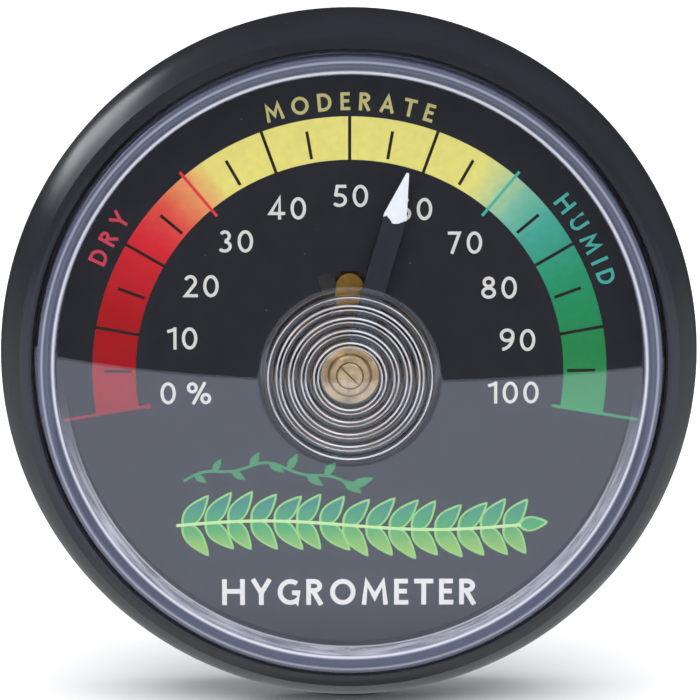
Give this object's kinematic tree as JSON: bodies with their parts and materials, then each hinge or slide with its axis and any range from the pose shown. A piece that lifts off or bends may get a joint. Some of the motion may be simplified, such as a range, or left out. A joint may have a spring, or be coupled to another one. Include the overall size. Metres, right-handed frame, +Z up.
{
  "type": "dial hygrometer",
  "caption": "Round stick-on dial hygrometer: vented black case, clear snap-in window, printed humidity scale, coil-driven pointer and calibration lever.",
  "frame": {"origin": "centre of the round case on the adhesive pad's back face", "axes": "+Z up as the dial is read, +X to the reader's right, +Y out of the back into the wall"},
  "size_m": [0.075, 0.018, 0.075],
  "materials": {
    "case_black": "fine moulded texture, satin black",
    "bezel_black": "polished black moulding",
    "window_clear": "clear polished moulding",
    "dial_print": "thin plate with a printed charcoal face",
    "pad_foam": "white closed-cell foam with an adhesive skin",
    "movement_black": "blackened steel plate",
    "brass": "turned and pressed brass",
    "coil_strip": "rolled strip with a lacquered moisture layer",
    "steel": "plain steel",
    "nylon": "natural nylon",
    "pointer_black": "black paint with a white painted tip"
  },
  "bodies": {
    "case": {"adhesive_pad": "pad_foam", "rear_case": "case_black", "bezel_ring": "bezel_black", "window": "window_clear", "dial_plate": "dial_print", "movement_plate": "movement_black", "movement_screw_1": "steel", "movement_screw_2": "steel", "movement_screw_3": "steel", "pivot_post": "brass", "lever_spring_washer": "steel", "lever_retainer": "steel", "rear_thrust_washer": "nylon", "front_thrust_washer": "nylon", "retaining_screw": "brass"},
    "regulator": {"calibration_lever": "brass", "coil_rivet": "brass", "humidity_coil": "coil_strip"},
    "pointer_assembly": {"pointer_sleeve": "brass", "coil_collet": "brass", "pointer": "pointer_black", "pointer_collar": "brass"}
  },
  "joints": [
    {"name": "calibration_swing", "type": "hinge", "parent": "case", "child": "regulator", "pos_m": [0, -0.009, -0.00105], "axis": [0, 1, 0], "range_deg": [-9, 9]},
    {"name": "pointer_turn", "type": "hinge", "parent": "regulator", "child": "pointer_assembly", "pos_m": [0, -0.009, -0.00105], "axis": [0, 1, 0], "range_deg": [-115, 83], "stiffness_Nm_per_rad": 0.00016, "deforming": ["humidity_coil"]}
  ]
}
